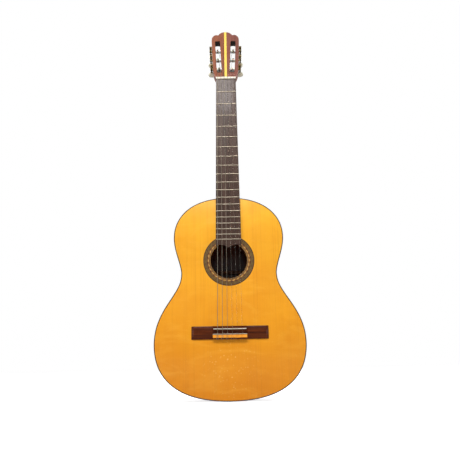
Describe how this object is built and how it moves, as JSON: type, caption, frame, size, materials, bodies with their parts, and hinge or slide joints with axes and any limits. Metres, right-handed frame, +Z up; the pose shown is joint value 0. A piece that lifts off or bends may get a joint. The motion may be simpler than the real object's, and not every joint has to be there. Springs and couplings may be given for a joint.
{
  "type": "classical guitar",
  "caption": "Classical guitar with a hollow body, a round sound hole, a slotted head with geared tuning machines, and nylon strings tied at the bridge.",
  "frame": {"origin": "on the centre line at the nut, in the plane of the soundboard's front face, where a hanger's arms hold the neck under the head", "axes": "+Z up along the neck towards the head, -Y out of the soundboard towards the viewer, +X towards the treble strings"},
  "size_m": [0.3654, 0.1155, 0.9962],
  "materials": {
    "top_wood": "clear gloss over golden spruce",
    "rosette_inlay": "inlaid wood mosaic, gloss",
    "rim_wood": "gloss dark red-brown",
    "binding_wood": "gloss dark brown",
    "neck_wood": "satin red-brown",
    "inner_wood": "bare sanded spruce",
    "veneer_wood": "gloss red-brown",
    "stripe_wood": "gloss yellow",
    "board_wood": "open-pored, satin",
    "bridge_wood": "gloss dark red-brown",
    "bone": "polished bone",
    "wound_string": "silver-plated winding",
    "plain_string": "clear nylon",
    "fret_metal": "polished nickel silver",
    "machine_brass": "antiqued brass",
    "roller_white": "white moulded",
    "button_cream": "pearled cream"
  },
  "bodies": {
    "guitar": {"soundboard": "top_wood", "tie_strip": "top_wood", "rosette": "rosette_inlay", "back": "rim_wood", "rib_bass": "rim_wood", "rib_treble": "rim_wood", "top_binding": "binding_wood", "back_binding": "binding_wood", "end_graft": "binding_wood", "heel_cap": "binding_wood", "neck": "neck_wood", "tail_block": "neck_wood", "top_lining_bass": "inner_wood", "top_lining_treble": "inner_wood", "back_lining_bass": "inner_wood", "back_lining_treble": "inner_wood", "upper_transverse_bar": "inner_wood", "lower_transverse_bar": "inner_wood", "fan_brace_1": "inner_wood", "fan_brace_2": "inner_wood", "fan_brace_3": "inner_wood", "fan_brace_4": "inner_wood", "fan_brace_5": "inner_wood", "back_brace_1": "inner_wood", "back_brace_2": "inner_wood", "back_brace_3": "inner_wood", "head_veneer_bass": "veneer_wood", "head_veneer_treble": "veneer_wood", "head_stripe": "stripe_wood", "fingerboard": "board_wood", "bridge": "bridge_wood", "nut": "bone", "saddle": "bone", "string_6": "wound_string", "string_5": "wound_string", "string_4": "wound_string", "string_3": "plain_string", "string_2": "plain_string", "string_1": "plain_string", "machine_plate_bass": "machine_brass", "machine_plate_treble": "machine_brass"},
    "knob_1": {"worm_1": "machine_brass", "button_1": "button_cream"},
    "string_roller_1": {"roller_1": "roller_white"},
    "knob_2": {"worm_2": "machine_brass", "button_2": "button_cream"},
    "string_roller_2": {"roller_2": "roller_white"},
    "knob_3": {"worm_3": "machine_brass", "button_3": "button_cream"},
    "string_roller_3": {"roller_3": "roller_white"},
    "knob_4": {"worm_4": "machine_brass", "button_4": "button_cream"},
    "string_roller_4": {"roller_4": "roller_white"},
    "knob_5": {"worm_5": "machine_brass", "button_5": "button_cream"},
    "string_roller_5": {"roller_5": "roller_white"},
    "knob_6": {"worm_6": "machine_brass", "button_6": "button_cream"},
    "string_roller_6": {"roller_6": "roller_white"}
  },
  "joints": [
    {"name": "knob_1_turn", "type": "hinge", "parent": "guitar", "child": "knob_1", "pos_m": [0.0391, 0.02453, 0.05119], "axis": [0, 0.9511, -0.309], "continuous": true},
    {"name": "roller_1_turn", "type": "hinge", "parent": "guitar", "child": "string_roller_1", "pos_m": [0.03412, 0.02161, 0.04219], "axis": [0.9992, -0.0122, -0.0375], "continuous": true},
    {"name": "knob_2_turn", "type": "hinge", "parent": "guitar", "child": "knob_2", "pos_m": [0.04048, 0.03535, 0.08448], "axis": [0, 0.9511, -0.309], "continuous": true},
    {"name": "roller_2_turn", "type": "hinge", "parent": "guitar", "child": "string_roller_2", "pos_m": [0.0355, 0.03243, 0.07548], "axis": [0.9992, -0.0122, -0.0375], "continuous": true},
    {"name": "knob_3_turn", "type": "hinge", "parent": "guitar", "child": "knob_3", "pos_m": [0.04186, 0.04616, 0.11776], "axis": [0, 0.9511, -0.309], "continuous": true},
    {"name": "roller_3_turn", "type": "hinge", "parent": "guitar", "child": "string_roller_3", "pos_m": [0.03688, 0.04324, 0.10877], "axis": [0.9992, -0.0122, -0.0375], "continuous": true},
    {"name": "knob_4_turn", "type": "hinge", "parent": "guitar", "child": "knob_4", "pos_m": [-0.04186, 0.04616, 0.11776], "axis": [0, 0.9511, -0.309], "continuous": true},
    {"name": "roller_4_turn", "type": "hinge", "parent": "guitar", "child": "string_roller_4", "pos_m": [-0.03688, 0.04324, 0.10877], "axis": [0.9992, 0.0122, 0.0375], "continuous": true},
    {"name": "knob_5_turn", "type": "hinge", "parent": "guitar", "child": "knob_5", "pos_m": [-0.04048, 0.03535, 0.08448], "axis": [0, 0.9511, -0.309], "continuous": true},
    {"name": "roller_5_turn", "type": "hinge", "parent": "guitar", "child": "string_roller_5", "pos_m": [-0.0355, 0.03243, 0.07548], "axis": [0.9992, 0.0122, 0.0375], "continuous": true},
    {"name": "knob_6_turn", "type": "hinge", "parent": "guitar", "child": "knob_6", "pos_m": [-0.0391, 0.02453, 0.05119], "axis": [0, 0.9511, -0.309], "continuous": true},
    {"name": "roller_6_turn", "type": "hinge", "parent": "guitar", "child": "string_roller_6", "pos_m": [-0.03412, 0.02161, 0.04219], "axis": [0.9992, 0.0122, 0.0375], "continuous": true}
  ],
  "couplings": [
    {"joint": "roller_1_turn", "follows": "knob_1_turn", "ratio": -0.071429},
    {"joint": "roller_2_turn", "follows": "knob_2_turn", "ratio": -0.071429},
    {"joint": "roller_3_turn", "follows": "knob_3_turn", "ratio": -0.071429},
    {"joint": "roller_4_turn", "follows": "knob_4_turn", "ratio": 0.071429},
    {"joint": "roller_5_turn", "follows": "knob_5_turn", "ratio": 0.071429},
    {"joint": "roller_6_turn", "follows": "knob_6_turn", "ratio": 0.071429}
  ]
}
